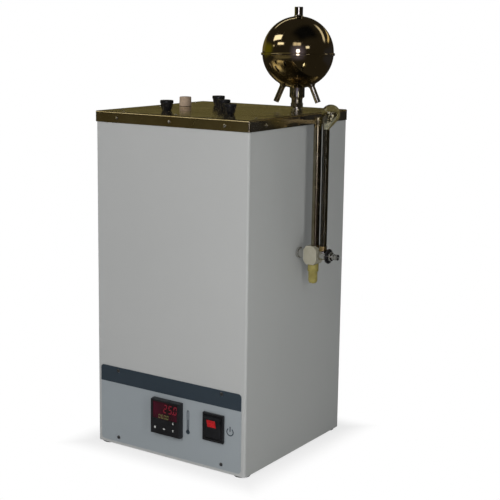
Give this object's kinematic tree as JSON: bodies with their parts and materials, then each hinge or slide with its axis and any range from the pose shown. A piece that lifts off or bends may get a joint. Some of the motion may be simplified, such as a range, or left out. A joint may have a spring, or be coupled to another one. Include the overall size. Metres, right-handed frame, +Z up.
{
  "type": "flash point tester",
  "caption": "Bench bath cabinet with a polished lid pan, stoppered ports, a ball condenser, a side level gauge with drain, and a front control panel.",
  "frame": {"origin": "on the bench, under the middle of the whole outline, gauge included", "axes": "+Z up, -Y towards the operator, +X towards the level gauge"},
  "size_m": [0.3076, 0.259, 0.6015],
  "materials": {
    "paint": "fine textured powder coat",
    "lid_steel": "mirror polished stainless sheet",
    "ball_steel": "mirror polished stainless",
    "bright_steel": "bright",
    "inner_steel": "brushed",
    "zinc_sheet": "zinc plated sheet",
    "brass": "turned",
    "black_rubber": "satin",
    "pale_stopper": "matt, faintly mottled",
    "foot_rubber": "matt",
    "gasket": "matt",
    "wool": "mineral wool board",
    "header_foil": "printed foil",
    "panel_plate": "foil faced sheet",
    "black_plastic": "satin",
    "window": "smoked red",
    "key_rubber": "satin",
    "lens": "glowing red",
    "block_plastic": "moulded",
    "nozzle_plastic": "translucent moulded",
    "glass": "clear",
    "heater_steel": "heat tinted",
    "terminal_plastic": "moulded"
  },
  "bodies": {
    "cabinet": {"cabinet_shell": "paint", "back_panel": "paint", "base_plate": "zinc_sheet", "bath_shelf": "zinc_sheet", "foot_pads": "foot_rubber", "rear_screws": "bright_steel", "lid_pan": "lid_steel", "skirt_screws": "bright_steel", "top_screws": "bright_steel", "port_sleeves": "inner_steel", "lid_gasket": "gasket", "bath_tank": "inner_steel", "insulation_jacket": "wool", "insulation_floor": "wool", "heater_tube": "heater_steel", "heater_glands": "brass", "probe_sheath": "inner_steel", "drain_pipe": "inner_steel", "condenser_spigot": "bright_steel", "wall_bulkhead": "bright_steel", "drain_block": "block_plastic", "drain_nozzle": "nozzle_plastic", "gauge_barrel": "bright_steel", "washer_ring": "black_rubber", "standpipe": "bright_steel", "glass_gland": "brass", "sight_glass": "glass", "gauge_clip": "bright_steel", "control_panel": "panel_plate", "panel_header": "header_foil", "panel_screws": "black_plastic", "controller_case": "black_plastic", "controller_bezel": "black_plastic", "display_window": "window", "controller_clamp": "black_plastic", "rocker_frame": "black_plastic", "switch_body": "black_plastic", "relay": "zinc_sheet", "terminal_block": "terminal_plastic", "mains_inlet": "black_plastic"},
    "stopper_front_left": {"stopper_front_left": "black_rubber"},
    "stopper_front_right": {"stopper_front_right": "black_rubber"},
    "stopper_back_left": {"stopper_back_left": "black_rubber"},
    "stopper_centre": {"stopper_centre": "black_rubber"},
    "stopper_side": {"stopper_side": "pale_stopper"},
    "condenser": {"condenser_neck": "ball_steel", "lower_shell": "ball_steel", "upper_shell": "ball_steel", "vapour_bulb": "inner_steel", "vent_tube": "ball_steel", "coolant_stubs": "ball_steel"},
    "union_nut": {"union_nut": "bright_steel"},
    "paddle": {"rocker_paddle": "black_plastic", "rocker_lens": "lens"},
    "key_cycle": {"key_cycle": "key_rubber"},
    "key_shift": {"key_shift": "key_rubber"},
    "key_up": {"key_up": "key_rubber"},
    "key_down": {"key_down": "key_rubber"},
    "spindle": {"drain_spindle": "bright_steel"}
  },
  "joints": [
    {"name": "lift_stopper_front_left", "type": "slide", "parent": "cabinet", "child": "stopper_front_left", "axis": [0, 0, 1], "range_m": [0, 0.03]},
    {"name": "lift_stopper_front_right", "type": "slide", "parent": "cabinet", "child": "stopper_front_right", "axis": [0, 0, 1], "range_m": [0, 0.03]},
    {"name": "lift_stopper_back_left", "type": "slide", "parent": "cabinet", "child": "stopper_back_left", "axis": [0, 0, 1], "range_m": [0, 0.03]},
    {"name": "lift_stopper_centre", "type": "slide", "parent": "cabinet", "child": "stopper_centre", "axis": [0, 0, 1], "range_m": [0, 0.03]},
    {"name": "lift_stopper_side", "type": "slide", "parent": "cabinet", "child": "stopper_side", "axis": [0, 0, 1], "range_m": [0, 0.03]},
    {"name": "lift_condenser", "type": "slide", "parent": "cabinet", "child": "condenser", "axis": [0, 0, 1], "range_m": [0, 0.04]},
    {"name": "turn_union_nut", "type": "hinge", "parent": "condenser", "child": "union_nut", "pos_m": [0.04105, 0.07905, 0.4684], "axis": [0, 0, 1], "continuous": true},
    {"name": "rock_power_switch", "type": "hinge", "parent": "cabinet", "child": "paddle", "pos_m": [0.04555, -0.11805, 0.0609], "axis": [1, 0, 0], "range_deg": [-14, 0]},
    {"name": "press_key_cycle", "type": "slide", "parent": "cabinet", "child": "key_cycle", "axis": [0, 1, 0], "range_m": [0, 0.0006], "stiffness_N_per_m": 800},
    {"name": "press_key_shift", "type": "slide", "parent": "cabinet", "child": "key_shift", "axis": [0, 1, 0], "range_m": [0, 0.0006], "stiffness_N_per_m": 800},
    {"name": "press_key_up", "type": "slide", "parent": "cabinet", "child": "key_up", "axis": [0, 1, 0], "range_m": [0, 0.0006], "stiffness_N_per_m": 800},
    {"name": "press_key_down", "type": "slide", "parent": "cabinet", "child": "key_down", "axis": [0, 1, 0], "range_m": [0, 0.0006], "stiffness_N_per_m": 800},
    {"name": "turn_drain_spindle", "type": "hinge", "parent": "cabinet", "child": "spindle", "pos_m": [0.14905, 0.00305, 0.2796], "axis": [1, 0, 0], "range_deg": [0, 360]}
  ]
}
